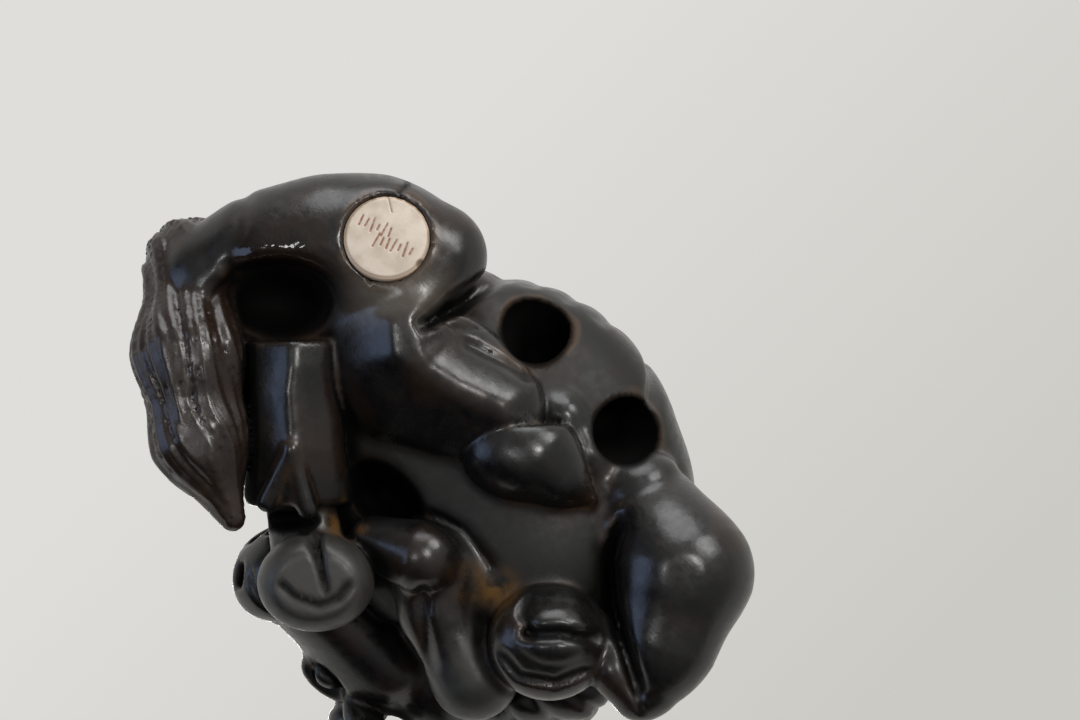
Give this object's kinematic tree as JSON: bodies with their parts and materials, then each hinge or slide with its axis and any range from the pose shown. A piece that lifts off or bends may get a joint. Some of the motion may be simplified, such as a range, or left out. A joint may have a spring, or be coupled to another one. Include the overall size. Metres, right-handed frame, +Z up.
{
  "type": "netsuke",
  "caption": "Netsuke toggle carved as a resting ox with folded legs, a turned head and a tail of carved hair, with a cord tunnel in the belly and a small pale disc let into the haunch.",
  "frame": {"origin": "centre of the part's box in plan, on the surface that it rests on", "axes": "+Z up, -Y the way the ox's body faces, +X its left side, where its head is turned"},
  "size_m": [0.0356, 0.0476, 0.0265],
  "materials": {
    "stained_wood": "dark stained and hand-polished, satin to glossy",
    "pale_bone": "polished bone or ivory-like inlay, satin"
  },
  "bodies": {
    "root": {"carved_ox": "stained_wood", "inlaid_disc": "pale_bone"}
  },
  "joints": []
}
